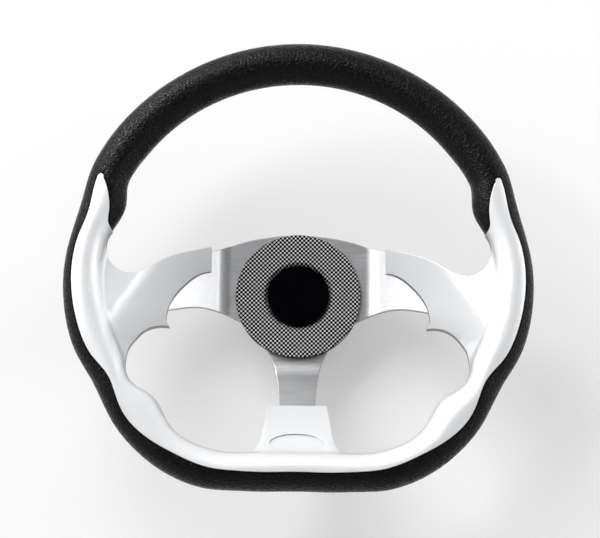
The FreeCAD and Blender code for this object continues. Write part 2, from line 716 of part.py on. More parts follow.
def hub_screws():
    screws = []
    for p in ring_places(HUB_SCREW_COUNT, HUB_SCREW_PCD):
        head = cylinder(BOLT_HEAD_RADIUS, PLATE_FRONT, PLATE_FRONT + BOLT_HEAD_HEIGHT, p.x, p.y)
        head = head.makeChamfer(BOLT_HEAD_HEIGHT * 0.4, [head.Edges[0]])
        shank = cylinder(BOLT_DIAMETER / 2, PLATE_FRONT - HUB_SCREW_LENGTH, PLATE_FRONT, p.x, p.y)
        screws.append(head.fuse(shank).removeSplitter())
    return Part.makeCompound(screws)


def hub_cover():
    top = PLATE_FRONT + HUB_COVER_THICKNESS
    ring = revolved([(HUB_COVER_HOLE, PLATE_FRONT), (HUB_COVER_RADIUS, PLATE_FRONT),
                     (HUB_COVER_RADIUS, top - 0.6), (HUB_COVER_RADIUS - 0.6, top),
                     (HUB_COVER_HOLE + HUB_COVER_BEVEL, top), (HUB_COVER_HOLE, top - HUB_COVER_BEVEL)])
    for p in ring_places(HUB_SCREW_COUNT, HUB_SCREW_PCD):
        ring = ring.cut(cylinder(BOLT_HEAD_RADIUS + SCREW_CLEARANCE, 0, PLATE_FRONT + BOLT_HEAD_HEIGHT + 0.3,
                                 p.x, p.y))
    return ring


def centre_cap():
    outer = HUB_COVER_HOLE - CAP_GAP
    top = PLATE_FRONT + HUB_COVER_THICKNESS
    skirt = PLATE_HOLE_RADIUS - CAP_GAP / 2
    return revolved([(0, top + CAP_RISE - CAP_WALL), (skirt - CAP_WALL, top + CAP_RISE - CAP_WALL),
                     (skirt - CAP_WALL, PLATE_FRONT - CAP_SKIRT_DEPTH), (skirt, PLATE_FRONT - CAP_SKIRT_DEPTH),
                     (skirt, PLATE_FRONT), (outer, PLATE_FRONT), (outer, top), (outer - CAP_BEVEL, top + CAP_RISE),
                     (0, top + CAP_RISE)])


def rear_shroud():
    lean = (SHROUD_TOP_RADIUS - SHROUD_BOTTOM_RADIUS) / (PLATE_REAR - SHROUD_LIFT)
    web_top = HUB_DEPTH - HUB_FLANGE_THICKNESS
    web_low = web_top - SHROUD_WALL
    inner = lambda z: SHROUD_BOTTOM_RADIUS + lean * (z - SHROUD_LIFT) - SHROUD_WALL
    bore = HUB_BOSS_RADIUS + CAP_GAP
    shell = revolved([(inner(SHROUD_LIFT), SHROUD_LIFT), (SHROUD_BOTTOM_RADIUS, SHROUD_LIFT),
                      (SHROUD_TOP_RADIUS, PLATE_REAR), (inner(PLATE_REAR), PLATE_REAR),
                      (inner(web_top), web_top), (bore, web_top), (bore, web_low), (inner(web_low), web_low)])
    for p in ring_places(SHROUD_SCREW_COUNT, SHROUD_SCREW_PCD, 90.0):
        shell = shell.cut(cylinder(TAPPING_RADIUS + SCREW_CLEARANCE, 0, web_top + 1, p.x, p.y))
    return shell


def tapping_screw(x, y, seat, length):
    """Small screw with its head's upper face at the seat, pointing up."""
    head = cylinder(TAPPING_HEAD_RADIUS, seat - TAPPING_HEAD_HEIGHT, seat, x, y)
    return head.fuse(cylinder(TAPPING_RADIUS, seat, seat + length, x, y)).removeSplitter()


def shroud_screws():
    seat = HUB_DEPTH - HUB_FLANGE_THICKNESS - SHROUD_WALL
    places = ring_places(SHROUD_SCREW_COUNT, SHROUD_SCREW_PCD, 90.0)
    return Part.makeCompound([tapping_screw(p.x, p.y, seat, SHROUD_WALL + TAPPING_LENGTH / 2) for p in places])


def post_places():
    """Left half's screw posts: place, and height where the bezel's post meets the cover's."""
    places = []
    for x, y in SIDE_POSTS:
        places.append((x, y, side_plate_front(x) - COVER_DEPTH + 3 * COVER_WALL))
    for x, y in BOTTOM_POSTS:
        places.append((x, y, bottom_plate_front(y) - COVER_DEPTH + 3 * COVER_WALL))
    return places


def inner_zone(inset):
    """Plan area on the axis side of the rim's middle line, below the horns."""
    middle = [polar((rim_inner(a) + rim_outer(a)) / 2.0 - inset, a) for a in range(167, 276, 4)]
    middle = [(p.x, p.y) for p in middle]
    return plan_face([line((0, 0), middle[0]), spline(middle), line(middle[-1], (0, 0))])


def front_bezel(face, plate_room):
    """Thin shell under the front surface, with a turned-down lip round the openings and screw posts."""
    bezel = under(face, 0, LIP_DEPTH).common(prism(bezel_outline(), 0, FAR))
    bezel = bezel.cut(under(face, BEZEL_WALL).common(slab(behind_border(LIP_WALL), -FAR, FAR)))
    for x, y, z in post_places():
        post = cylinder(POST_RADIUS, z, FAR, x, y).common(under(face, BEZEL_WALL / 2))
        bezel = bezel.fuse(post).cut(cylinder(TAPPING_RADIUS, z - 1, z + TAPPING_LENGTH, x, y))
    oval = Part.Ellipse(V(0, -RECESS_CENTRE, 0), RECESS_HALF[0], RECESS_HALF[1]).toShape()
    recess = prism([oval], 0, FAR).common(above(face, RECESS_DEPTH))
    bezel = bezel.cut(recess).cut(plate_room).common(left_half())
    return both_sides(max(bezel.Solids, key=lambda q: q.Volume))


def grip(face, core):
    """Moulded grip over the core, stepped down where the bezel lies in it."""
    half = rim_body()
    for tab in plain_brackets(BRACKET_CLEARANCE):
        half = half.cut(tab)
    half = half.cut(core)
    seat = prism(bezel_outline(BEZEL_GROOVE), 0, FAR).common(above(face, BEZEL_WALL + BEZEL_SEAT_CLEARANCE))
    step = slab(before_border(LIP_WALL + BEZEL_SEAT_CLEARANCE), 0, FAR)
    step = step.common(above(face, LIP_DEPTH + BEZEL_SEAT_CLEARANCE))
    half = half.cut(seat).cut(step)
    return both_sides(max(half.Solids, key=lambda q: q.Volume))


def wedge(slope, drop):
    """Everything behind a spoke's front plane moved back by a drop; spoke along -X."""
    start = PLATE_FRONT - drop - slope * BEND_START
    outline = [V(0, 0, start), V(-FAR, 0, start + slope * FAR), V(-FAR, 0, -FAR), V(0, 0, -FAR)]
    solid = Part.Face(Part.makePolygon(outline + [outline[0]])).extrude(V(0, 2 * FAR, 0))
    solid.translate(V(0, -FAR, 0))
    return solid


def cover_area(box, inset):
    """Plan area of a cover within a box, its walls moved in by an inset."""
    area = behind_border(COVER_INSET + inset).common(inner_zone(COVER_RIM_INSET + inset)).common(box)
    return max(area.Faces, key=lambda q: q.Area)


def side_area(inset):
    """The side cover stops below the thumb notch, where it would show."""
    start = -COVER_START - inset
    step = NOTCH_COVER[0] + inset
    top = NOTCH_COVER[1] - inset
    corners = [(start, COVER_LOW + inset), (start, FAR), (step, FAR), (step, top), (-FAR, top),
               (-FAR, COVER_LOW + inset)]
    return cover_area(plan_face([line(a, b) for a, b in zip(corners, corners[1:] + corners[:1])]), inset)


def bottom_area(inset):
    half = BOTTOM_COVER_HALF - inset
    start = -BOTTOM_COVER_START - inset
    return cover_area(Part.makePlane(2 * half, FAR, V(-half, start - FAR, 0)), inset)


def cover_tray(outer, inner, slope, turn, posts, roof):
    """Tray behind a spoke's end, its floor parallel to the spoke, with a post for each screw."""
    floor = turn(wedge(slope, COVER_DEPTH))
    inside = turn(wedge(slope, COVER_DEPTH - COVER_WALL))
    tray = slab(outer, 0, FAR).cut(floor).cut(slab(inner, 0, FAR).cut(inside)).common(roof)
    for x, y, z in posts:
        tray = tray.cut(cylinder(POST_RADIUS + COVER_GAP, z, FAR, x, y))
        tray = tray.fuse(cylinder(POST_TOP_RADIUS, 0, z, x, y).cut(floor))
        tray = tray.cut(cylinder(TAPPING_RADIUS + SCREW_CLEARANCE, 0, z + 1, x, y))
        tray = tray.cut(cylinder(TAPPING_HEAD_RADIUS + SCREW_CLEARANCE, 0, z - COVER_WALL, x, y))
    return tray


def rear_covers(face, plate_room, rim):
    """The two side trays and the bottom one."""
    roof = under(face, LIP_DEPTH + COVER_GAP)
    posts = post_places()
    side = cover_tray(side_area(0.0), side_area(COVER_WALL), SIDE_SPOKE_SLOPE, lambda q: q,
                      posts[:len(SIDE_POSTS)], roof)
    side_tab, low_tab = plain_brackets(COVER_GAP)
    side = side.cut(plate_room).cut(rim).cut(side_tab)
    low = cover_tray(bottom_area(0.0), bottom_area(COVER_WALL), BOTTOM_SPOKE_SLOPE, turn_down, posts[len(SIDE_POSTS):], roof)
    low = low.cut(plate_room).cut(rim).cut(low_tab).common(left_half())
    left = max(side.Solids, key=lambda q: q.Volume)
    low = max(low.Solids, key=lambda q: q.Volume)
    return {"rear_cover_left": left, "rear_cover_right": mirrored(left), "rear_cover_bottom": both_sides(low)}


def cover_screws():
    screws = []
    for x, y, z in post_places():
        for side in (-1, 1):
            screws.append(tapping_screw(side * x, y, z - COVER_WALL, TAPPING_LENGTH))
    return Part.makeCompound(screws)


def main():
    face = front_face()
    plate_room = spoke_sheet(-BEZEL_SEAT_CLEARANCE, PLATE_THICKNESS + BEZEL_SEAT_CLEARANCE + COVER_GAP, COVER_GAP)
    core = rim_core()
    tabs = brackets(core)
    bolts = spoke_bolts()
    made = {
        "rim_core": core,
        "grip": grip(face, core),
        "spoke_plate": spoke_plate(),
        "spoke_bolts": bolts,
        "spoke_nuts": spoke_nuts(),
        "front_bezel": front_bezel(face, plate_room),
        "cover_screws": cover_screws(),
        "hub_body": hub_body(),
        "hub_screws": hub_screws(),
        "hub_cover": hub_cover(),
        "centre_cap": centre_cap(),
        "rear_shroud": rear_shroud(),
        "shroud_screws": shroud_screws(),
    }
    made.update(tabs)
    made.update(rear_covers(face, plate_room, rim_body(COVER_GAP)))
    os.makedirs("parts", exist_ok=True)
    for name, shape in made.items():
        shape.exportStep("parts/" + name + ".step")


if __name__ == "__main__":
    main()
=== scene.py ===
import math

import bmesh
import bpy
from mathutils import Matrix, Vector


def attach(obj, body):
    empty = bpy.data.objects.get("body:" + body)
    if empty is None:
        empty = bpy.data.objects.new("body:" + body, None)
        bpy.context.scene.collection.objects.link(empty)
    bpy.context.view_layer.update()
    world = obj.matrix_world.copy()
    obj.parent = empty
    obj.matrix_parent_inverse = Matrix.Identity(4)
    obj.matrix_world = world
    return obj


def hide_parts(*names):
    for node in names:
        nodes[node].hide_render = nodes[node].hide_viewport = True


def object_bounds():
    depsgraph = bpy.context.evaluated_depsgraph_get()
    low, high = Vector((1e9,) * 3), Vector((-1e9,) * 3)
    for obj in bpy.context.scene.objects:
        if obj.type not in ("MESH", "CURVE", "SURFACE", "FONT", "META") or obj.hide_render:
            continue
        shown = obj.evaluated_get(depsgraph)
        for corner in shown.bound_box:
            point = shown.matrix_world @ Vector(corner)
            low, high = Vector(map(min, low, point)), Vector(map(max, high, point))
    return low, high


bl_info = {
    "name": "Boat Steering Wheel",
    "version": (1, 0, 0),
    "blender": (4, 5, 0),
    "location": "View3D > Sidebar > Wheel",
    "description": "Finishes a padded three-spoke boat steering wheel and sets it in a pale studio",
    "category": "Object",
}

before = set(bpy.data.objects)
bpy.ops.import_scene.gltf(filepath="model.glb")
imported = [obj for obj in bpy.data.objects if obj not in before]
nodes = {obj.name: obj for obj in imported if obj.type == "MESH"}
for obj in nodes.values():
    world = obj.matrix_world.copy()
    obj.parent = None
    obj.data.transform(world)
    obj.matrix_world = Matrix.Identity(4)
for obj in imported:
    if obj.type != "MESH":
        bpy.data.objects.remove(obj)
cad_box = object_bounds()

BODY = "root"
MM = 0.001
WELD = 0.002 * MM            # corners nearer than this are one corner
SLIVER = 0.005 * MM          # edges shorter than this go after a rounding
CUT_EDGE = math.radians(60)  # a sheet's cut edges turn by more than this
PLATE_ROUNDING = 0.7 * MM    # on the spoke plate's cut edges
FLOOR_HALF_WIDTH = 8.0       # metres
FLOOR_WHITE = 0.22           # share of plain white in what the camera sees of the floor
CAMERA_TARGET = Vector((1.06, 5.82, 110.0)) * MM
CAMERA_LENS = 210.4          # mm
CAMERA_SENSOR = 36.0         # mm wide
CAMERA_REACH = 20.0          # metres
LAMP_TARGET = Vector((0.0, 0.0, 0.08))

# Name, place and side in metres, power in watts, and whether it shows in shine alone
LAMPS = (
    ("high softbox", (-2.1, 2.4, 2.7), 3.4, 144.0, False),
    ("left softbox", (-3.4, 0.75, 1.4), 2.0, 21.0, False),
    ("right softbox", (3.4, 0.75, 1.4), 2.0, 34.0, False),
    ("sparkle lamp", (-1.3, 1.7, 1.3), 0.4, 38.0, True),
)

# The pale room by height, from the horizon to overhead
ROOM = ((0.0, "#e6e6e5"), (0.55, "#d0d1d2"), (1.0, "#727375"))


def linear(hex_colour):
    """An sRGB hex colour as linear red, green, blue and alpha."""
    channels = [int(hex_colour[i:i + 2], 16) / 255 for i in (1, 3, 5)]
    return [c / 12.92 if c <= 0.04045 else ((c + 0.055) / 1.055) ** 2.4 for c in channels] + [1.0]


def colour_prop(name, description, hex_colour):
    return bpy.props.FloatVectorProperty(
        name=name, description=description, subtype="COLOR", size=4, min=0.0, max=1.0,
        default=linear(hex_colour))


def length_prop(name, description, millimetres):
    return bpy.props.FloatProperty(
        name=name, description=description, subtype="DISTANCE", unit="LENGTH", min=0.0,
        default=millimetres * MM)


class WheelColours(bpy.types.PropertyGroup):
    grip: colour_prop("Grip", "Black skin of the foamed grip", "#050505")
    bezel: colour_prop("Bezel", "Silver lacquer on the front bezel", "#f0f1f2")
    plate: colour_prop("Spoke plate", "Bare brushed aluminium", "#e2e2e4")
    print_light: colour_prop("Print, light", "Light checks of the hub ring", "#d2d2d1")
    print_dark: colour_prop("Print, dark", "Dark checks of the hub ring", "#020202")
    cap: colour_prop("Cap", "Glossy cap over the shaft nut", "#010102")
    moulding: colour_prop("Rear mouldings", "Black covers and shroud behind the wheel", "#1a1a1b")
    coated_steel: colour_prop("Coated steel", "Black coat on the ring and brackets", "#161617")
    zinc: colour_prop("Zinc", "Plated bolts, nuts and screws", "#b9babb")
    black_zinc: colour_prop("Black zinc", "Small screws of the rear covers", "#1c1c1e")
    cast_hub: colour_prop("Hub", "Turned aluminium hub", "#b4b5b7")
    floor: colour_prop("Floor", "Pale studio sheet", "#fbfbfa")


class WheelSizes(bpy.types.PropertyGroup):
    grain: length_prop("Grip grain", "Width of one pebble of the grip's grain", 1.6)
    check: length_prop("Ring check", "Side of one printed check", 1.63)
    brush: length_prop("Brush line", "Distance between brushed lines on the plate", 0.85)
    spark: length_prop("Moulded spark", "Width of the spark texture on the rear mouldings", 0.7)
    flake: length_prop("Lacquer flake", "Width of a patch of flakes in the silver lacquer", 0.6)
    camera_distance: length_prop("Camera distance", "From the camera to the wheel's middle", 2600.0)
    camera_elevation: bpy.props.FloatProperty(
        name="Camera elevation", description="Angle of the view over the floor", subtype="ANGLE",
        unit="ROTATION", default=math.radians(77.0))
    camera_roll: bpy.props.FloatProperty(
        name="Camera roll", description="Turn of the picture about its middle", subtype="ANGLE",
        unit="ROTATION", default=math.radians(0.65))


# Meshes


def finish_piece(bm, name, material, slot, *replaced):
    """Makes the object of a bmesh, gives it its material and its node, and lets it ride."""
    mesh = bpy.data.meshes.new(name)
    bm.to_mesh(mesh)
    bm.free()
    if "custom_normal" in mesh.attributes:
        mesh.attributes.remove(mesh.attributes["custom_normal"])
    mesh.materials.append(material)
    piece = bpy.data.objects.new(name, mesh)
    bpy.context.scene.collection.objects.link(piece)
    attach(piece, BODY)
    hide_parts(*replaced)
    return piece


def mark_edges(bm, angle):
    """Shades all faces smooth and keeps the edges sharper than the angle."""
    for face in bm.faces:
        face.smooth = True
    for edge in bm.edges:
        edge.smooth = len(edge.link_faces) == 2 and edge.calc_face_angle() < angle


def welded(node_name):
    """The node's mesh with its loose triangles joined."""
    bm = bmesh.new()
    bm.from_mesh(nodes[node_name].data)
    bmesh.ops.remove_doubles(bm, verts=bm.verts, dist=WELD)
    bmesh.ops.dissolve_degenerate(bm, edges=bm.edges, dist=WELD)
    return bm


def in_fixed_order(bm):
    """The same faces, ordered by place. A bevel's own order changes from run to run."""
    corners = sorted(bm.verts, key=lambda vert: vert.co[:])
    rank = {vert: i for i, vert in enumerate(corners)}
    rings = []
    for face in bm.faces:
        ring = [rank[vert] for vert in face.verts]
        start = ring.index(min(ring))
        rings.append(ring[start:] + ring[:start])
    ordered = bmesh.new()
    verts = [ordered.verts.new(vert.co) for vert in corners]
    for ring in sorted(rings):
        ordered.faces.new([verts[i] for i in ring])
    ordered.normal_update()
    bm.free()
    return ordered


def round_edges(bm, width):
    """Rounds the square edges of a sheet, as tumbling does."""
    bmesh.ops.dissolve_limit(bm, angle_limit=math.radians(0.5), verts=bm.verts, edges=bm.edges)
    square = [edge for edge in bm.edges
              if len(edge.link_faces) == 2 and edge.calc_face_angle() > CUT_EDGE]
    bmesh.ops.bevel(bm, geom=square, offset=width, offset_type="OFFSET", affect="EDGES", segments=2,
                    profile=0.5, clamp_overlap=False, material=-1)
    bmesh.ops.triangulate(bm, faces=bm.faces)
    bmesh.ops.dissolve_degenerate(bm, edges=bm.edges, dist=SLIVER)
    return in_fixed_order(bm)


def smooth_moulding(node_name, piece_name, material, slot, degrees=28, rounding=0.0):
    """A welded copy of a node, smooth but for its real edges."""
    bm = welded(node_name)
    if rounding:
        bm = round_edges(bm, rounding)
    mark_edges(bm, math.radians(degrees))
    piece = finish_piece(bm, piece_name, material, slot, node_name)
    weighted = piece.modifiers.new("Even normals", "WEIGHTED_NORMAL")
    weighted.keep_sharp = True


def assign(node_name, material):
    """Gives a CAD node that stays its finish."""
    materials = nodes[node_name].data.materials
    if not len(materials):
        materials.append(material)
    for i in range(len(materials)):
        nodes[node_name].material_slots[i].material = material


# Materials


def add_node(tree, kind, settings=None, links=None):
    """Adds a node, sets its values by socket or attribute name, and links its inputs."""
    node = tree.nodes.new(kind)
    for name, value in (settings or {}).items():
        if isinstance(name, int) or name in node.inputs:
            node.inputs[name].default_value = value
        else:
            setattr(node, name, value)
    for name, source in (links or {}).items():
        tree.links.new(source, node.inputs[name])
    return node


def start_material(name, **values):
    """A material with one Principled shader, its values set on the shader's own sockets."""
    material = bpy.data.materials.new(name)
    material.use_nodes = True
    shader = material.node_tree.nodes["Principled BSDF"]
    for socket, value in values.items():
        shader.inputs[socket.replace("_", " ")].default_value = value
    return material, material.node_tree, shader


def object_pattern(tree, scale=(1.0, 1.0, 1.0)):
    """Object coordinates, scaled along each axis."""
    place = add_node(tree, "ShaderNodeTexCoord")
    return add_node(tree, "ShaderNodeMapping", {"Scale": scale},
                    {"Vector": place.outputs["Object"]}).outputs["Vector"]


def grip_skin():
    """Self-skinned polyurethane foam, cast in a grained mould: a deep black with small domed
    pebbles, the polished ones of which catch the light as fine specks."""
    look = bpy.context.scene.wheel_colours
    grain = bpy.context.scene.wheel_sizes.grain
    material, tree, shader = start_material(
        "cast polyurethane skin", IOR=1.5, Specular_IOR_Level=0.15)
    place = object_pattern(tree)
    pebbles = add_node(tree, "ShaderNodeTexVoronoi",
                       {"feature": "F1", "Scale": 1.0 / grain, "Randomness": 0.9},
                       {"Vector": place})
    pores = add_node(tree, "ShaderNodeTexNoise",
                     {"Scale": 2.2 / grain, "Detail": 2.0, "Roughness": 0.6}, {"Vector": place})
    dome = add_node(tree, "ShaderNodeMath", {"operation": "POWER", 1: 2.0},
                    {0: pebbles.outputs["Distance"]})
    height = add_node(tree, "ShaderNodeMath", {"operation": "MULTIPLY_ADD", 1: 0.2},
                      {0: pores.outputs["Fac"], 2: dome.outputs[0]})
    bump = add_node(tree, "ShaderNodeBump", {"Strength": 1.0, "Distance": 0.45 * MM},
                    {"Height": height.outputs[0]})
    patches = add_node(tree, "ShaderNodeTexNoise", {"Scale": 28.0, "Detail": 3.0}, {"Vector": place})
    one_pebble = add_node(tree, "ShaderNodeSeparateColor", links={0: pebbles.outputs["Color"]})
    polish = add_node(tree, "ShaderNodeMath", {"operation": "MULTIPLY"},
                      {0: one_pebble.outputs[0], 1: patches.outputs["Fac"]})
    wear = add_node(tree, "ShaderNodeMapRange",
                    {"From Min": 0.05, "From Max": 0.35, "To Min": 0.5, "To Max": 0.18},
                    {"Value": polish.outputs[0]})
    shade = add_node(tree, "ShaderNodeMix",
                     {"data_type": "RGBA", 6: look.grip, 7: linear("#080808")},
                     {0: pebbles.outputs["Distance"]})
    tree.links.new(shade.outputs[2], shader.inputs["Base Color"])
    tree.links.new(wear.outputs[0], shader.inputs["Roughness"])
    tree.links.new(bump.outputs[0], shader.inputs["Normal"])
    return material


def silver_lacquer():
    """Silver lacquer sprayed from the front on moulded ABS: nearly white and satin, with painted
    shade that draws the steep walls a darker grey. Its flakes are too fine to see, so they are drawn
    as patches."""
    look = bpy.context.scene.wheel_colours
    flake = bpy.context.scene.wheel_sizes.flake
    material, tree, shader = start_material(
        "silver lacquer on ABS", Metallic=0.32, IOR=1.5, Coat_Weight=0.12, Coat_Roughness=0.25)
    place = object_pattern(tree)
    flakes = add_node(tree, "ShaderNodeTexNoise",
                      {"Scale": 1.0 / flake, "Detail": 2.0}, {"Vector": place})
    shade = add_node(tree, "ShaderNodeMix",
                     {"data_type": "RGBA", 6: linear("#e5e6e8"), 7: look.bezel},
                     {0: flakes.outputs["Fac"]})
    gloss = add_node(tree, "ShaderNodeMapRange", {"To Min": 0.36, "To Max": 0.46},
                     {"Value": flakes.outputs["Fac"]})
    soft_edge = add_node(tree, "ShaderNodeBevel", {"samples": 6, "Radius": 0.9 * MM})
    peel = add_node(tree, "ShaderNodeBump", {"Strength": 0.08, "Distance": 0.05 * MM},
                    {"Height": flakes.outputs["Fac"], "Normal": soft_edge.outputs[0]})
    shape = add_node(tree, "ShaderNodeNewGeometry")
    lean = add_node(tree, "ShaderNodeSeparateXYZ", links={0: shape.outputs["True Normal"]})
    # Painted shade: where the surface turns steeply away from the front, the lacquer is mixed to a
    # dark grey.
    wall = add_node(tree, "ShaderNodeMapRange",
                    {"From Min": 0.12, "From Max": 0.45, "To Min": 1.0, "To Max": 0.0},
                    {"Value": lean.outputs["Z"]})
    painted_wall_shade = add_node(tree, "ShaderNodeMix", {"data_type": "RGBA", 7: linear("#838486")},
                    {0: wall.outputs[0], 6: shade.outputs[2]})
    tree.links.new(painted_wall_shade.outputs[2], shader.inputs["Base Color"])
    tree.links.new(gloss.outputs[0], shader.inputs["Roughness"])
    tree.links.new(peel.outputs[0], shader.inputs["Normal"])
    return material


def brushed_aluminium():
    """Aluminium sheet, brushed along the side spokes before it was cut and bent: fine level
    lines that spread each highlight up and down. Real lines are too fine to show, so they are
    drawn further apart."""
    look = bpy.context.scene.wheel_colours
    brush = bpy.context.scene.wheel_sizes.brush
    material, tree, shader = start_material(
        "brushed aluminium sheet", Metallic=1.0, Anisotropic=0.55)
    across = 1.0 / brush
    lines = add_node(tree, "ShaderNodeTexNoise", {"Scale": 1.0, "Detail": 3.0, "Roughness": 0.65},
                     {"Vector": object_pattern(tree, (50.0, across, across))})
    gloss = add_node(tree, "ShaderNodeMapRange",
                     {"From Min": 0.35, "From Max": 0.65, "To Min": 0.3, "To Max": 0.46},
                     {"Value": lines.outputs["Fac"]})
    shade = add_node(tree, "ShaderNodeMix",
                     {"data_type": "RGBA", 6: linear("#a9aaac"), 7: look.plate},
                     {0: lines.outputs["Fac"]})
    scratch = add_node(tree, "ShaderNodeBump", {"Strength": 0.35, "Distance": 0.06 * MM},
                       {"Height": lines.outputs["Fac"]})
    spread = add_node(tree, "ShaderNodeCombineXYZ", {"X": 0.0, "Y": 1.0, "Z": 0.0})
    tree.links.new(shade.outputs[2], shader.inputs["Base Color"])
    tree.links.new(gloss.outputs[0], shader.inputs["Roughness"])
    tree.links.new(scratch.outputs[0], shader.inputs["Normal"])
    tree.links.new(spread.outputs[0], shader.inputs["Tangent"])
    return material


def printed_checks():
    """ABS ring under a printed film: small silver squares on black, corner to corner. Each
    square is a little smaller than its place, so the black looks deeper than the silver. The
    film ends at the ring's upright wall, which is plain black."""
    look = bpy.context.scene.wheel_colours
    check = bpy.context.scene.wheel_sizes.check
    material, tree, shader = start_material(
        "check film on ABS", IOR=1.5, Specular_IOR_Level=0.15)
    place = object_pattern(tree, (1.0 / check, 1.0 / check, 0.0))
    board = add_node(tree, "ShaderNodeTexChecker", {"Scale": 1.0}, {"Vector": place})
    axes = add_node(tree, "ShaderNodeSeparateXYZ", links={0: place})
    across = add_node(tree, "ShaderNodeMath", {"operation": "PINGPONG", 1: 0.5},
                      {0: axes.outputs["X"]})
    up = add_node(tree, "ShaderNodeMath", {"operation": "PINGPONG", 1: 0.5},
                  {0: axes.outputs["Y"]})
    inward = add_node(tree, "ShaderNodeMath", {"operation": "MINIMUM"},
                      {0: across.outputs[0], 1: up.outputs[0]})
    square = add_node(tree, "ShaderNodeMapRange", {"From Min": 0.06, "From Max": 0.14},
                      {"Value": inward.outputs[0]})
    squares = add_node(tree, "ShaderNodeMath", {"operation": "MULTIPLY"},
                       {0: board.outputs["Fac"], 1: square.outputs[0]})
    shape = add_node(tree, "ShaderNodeNewGeometry")
    lean = add_node(tree, "ShaderNodeSeparateXYZ", links={0: shape.outputs["True Normal"]})
    film = add_node(tree, "ShaderNodeMapRange", {"From Min": 0.2, "From Max": 0.4},
                    {"Value": lean.outputs["Z"]})
    checks = add_node(tree, "ShaderNodeMath", {"operation": "MULTIPLY"},
                      {0: squares.outputs[0], 1: film.outputs[0]})
    shade = add_node(tree, "ShaderNodeMix",
                     {"data_type": "RGBA", 6: look.print_dark, 7: look.print_light},
                     {0: checks.outputs[0]})
    smudge = add_node(tree, "ShaderNodeTexNoise", {"Scale": 45.0, "Detail": 2.0},
                      {"Vector": object_pattern(tree)})
    shine = add_node(tree, "ShaderNodeMapRange", {"To Min": 0.42, "To Max": 0.54},
                     {"Value": smudge.outputs["Fac"]})
    metal = add_node(tree, "ShaderNodeMath", {"operation": "MULTIPLY", 1: 0.3},
                     {0: checks.outputs[0]})
    weave = add_node(tree, "ShaderNodeBump", {"Strength": 0.12, "Distance": 0.08 * MM},
                     {"Height": checks.outputs[0]})
    tree.links.new(shade.outputs[2], shader.inputs["Base Color"])
    tree.links.new(shine.outputs[0], shader.inputs["Roughness"])
    tree.links.new(metal.outputs[0], shader.inputs["Metallic"])
    tree.links.new(weave.outputs[0], shader.inputs["Normal"])
    return material


def cap_gloss():
    """Polished black ABS: a deep black gloss with the faint haze that wiping leaves."""
    look = bpy.context.scene.wheel_colours
    material, tree, shader = start_material(
        "polished black ABS", IOR=1.45, Specular_IOR_Level=0.05)
    haze = add_node(tree, "ShaderNodeTexNoise", {"Scale": 60.0, "Detail": 4.0},
                    {"Vector": object_pattern(tree)})
    gloss = add_node(tree, "ShaderNodeMapRange", {"To Min": 0.1, "To Max": 0.24},
                     {"Value": haze.outputs["Fac"]})
    shade = add_node(tree, "ShaderNodeMix",
                     {"data_type": "RGBA", 6: look.cap, 7: linear("#020307")},
                     {0: haze.outputs["Fac"]})
    tree.links.new(shade.outputs[2], shader.inputs["Base Color"])
    tree.links.new(gloss.outputs[0], shader.inputs["Roughness"])
    return material


def spark_moulding():
    """Injection-moulded black ABS from a spark-eroded mould: dull, with an even fine texture."""
    look = bpy.context.scene.wheel_colours
    spark = bpy.context.scene.wheel_sizes.spark
    material, tree, shader = start_material("spark-textured black ABS", IOR=1.5)
    place = object_pattern(tree)
    pits = add_node(tree, "ShaderNodeTexNoise", {"Scale": 1.0 / spark, "Detail": 2.0},
                    {"Vector": place})
    cloud = add_node(tree, "ShaderNodeTexNoise", {"Scale": 18.0, "Detail": 2.0}, {"Vector": place})
    gloss = add_node(tree, "ShaderNodeMapRange", {"To Min": 0.5, "To Max": 0.66},
                     {"Value": cloud.outputs["Fac"]})
    shade = add_node(tree, "ShaderNodeMix",
                     {"data_type": "RGBA", 6: look.moulding, 7: linear("#212122")},
                     {0: pits.outputs["Fac"]})
    bump = add_node(tree, "ShaderNodeBump", {"Strength": 0.35, "Distance": 0.15 * MM},
                    {"Height": pits.outputs["Fac"]})
    tree.links.new(shade.outputs[2], shader.inputs["Base Color"])
    tree.links.new(gloss.outputs[0], shader.inputs["Roughness"])
    tree.links.new(bump.outputs[0], shader.inputs["Normal"])
    return material


def powder_coat():
    """Steel under a black powder coat, with the coat's slight orange peel."""
    look = bpy.context.scene.wheel_colours
    material, tree, shader = start_material("black powder coat on steel", IOR=1.5)
    peel = add_node(tree, "ShaderNodeTexNoise", {"Scale": 900.0, "Detail": 1.0},
                    {"Vector": object_pattern(tree)})
    gloss = add_node(tree, "ShaderNodeMapRange", {"To Min": 0.38, "To Max": 0.5},
                     {"Value": peel.outputs["Fac"]})
    shade = add_node(tree, "ShaderNodeMix",
                     {"data_type": "RGBA", 6: look.coated_steel, 7: linear("#1e1e1f")},
                     {0: peel.outputs["Fac"]})
    bump = add_node(tree, "ShaderNodeBump", {"Strength": 0.15, "Distance": 0.1 * MM},
                    {"Height": peel.outputs["Fac"]})
    tree.links.new(shade.outputs[2], shader.inputs["Base Color"])
    tree.links.new(gloss.outputs[0], shader.inputs["Roughness"])
    tree.links.new(bump.outputs[0], shader.inputs["Normal"])
    return material


def plated_steel(name, plate, shadow, rough):
    """Cold-formed steel under a thin zinc plate: a dull metal shine in soft clouds."""
    material, tree, shader = start_material(name, Metallic=1.0)
    cloud = add_node(tree, "ShaderNodeTexNoise", {"Scale": 700.0, "Detail": 3.0},
                     {"Vector": object_pattern(tree)})
    gloss = add_node(tree, "ShaderNodeMapRange", {"To Min": rough - 0.06, "To Max": rough + 0.08},
                     {"Value": cloud.outputs["Fac"]})
    shade = add_node(tree, "ShaderNodeMix", {"data_type": "RGBA", 6: linear(shadow), 7: plate},
                     {0: cloud.outputs["Fac"]})
    tree.links.new(shade.outputs[2], shader.inputs["Base Color"])
    tree.links.new(gloss.outputs[0], shader.inputs["Roughness"])
    return material


